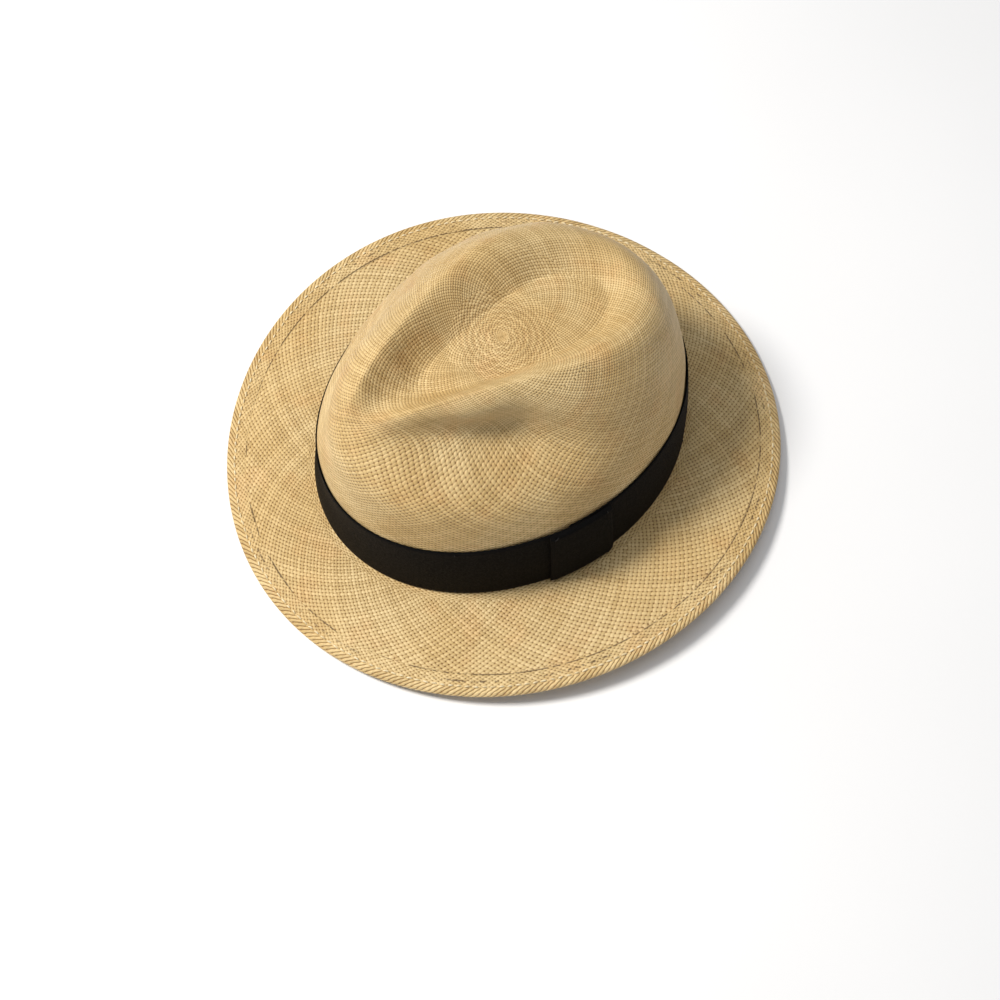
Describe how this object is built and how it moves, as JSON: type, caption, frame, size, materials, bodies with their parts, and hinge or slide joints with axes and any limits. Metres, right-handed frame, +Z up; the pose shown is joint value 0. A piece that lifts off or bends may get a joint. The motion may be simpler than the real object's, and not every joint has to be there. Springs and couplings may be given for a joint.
{
  "type": "panama hat",
  "caption": "Woven straw hat with a creased teardrop crown, a stitched brim, a black ribbon band with a flat bow and a leather sweatband inside.",
  "frame": {"origin": "on the surface the hat stands on, under the middle of the head oval", "axes": "+Z up, -Y to the front of the hat, +X to the wearer's left, where the bow is"},
  "size_m": [0.2858, 0.2971, 0.1188],
  "materials": {
    "straw": "matte",
    "straw_thread": "matte",
    "ribbon": "satin",
    "dark_thread": "matte",
    "leather": "satin",
    "reed": "satin",
    "binding": "matte",
    "brown_thread": "matte",
    "tag": "matte"
  },
  "bodies": {
    "root": {"woven_body": "straw", "hem_stitches": "straw_thread", "hat_band": "ribbon", "flat_bow": "ribbon", "bow_tacks": "dark_thread", "band_tacks": "dark_thread", "sweatband": "leather", "sweatband_reed": "reed", "reed_binding": "binding", "sweatband_stitches": "brown_thread", "join_bow": "ribbon", "join_stitches": "brown_thread", "size_tag": "tag", "tag_stitches": "brown_thread"}
  },
  "joints": []
}
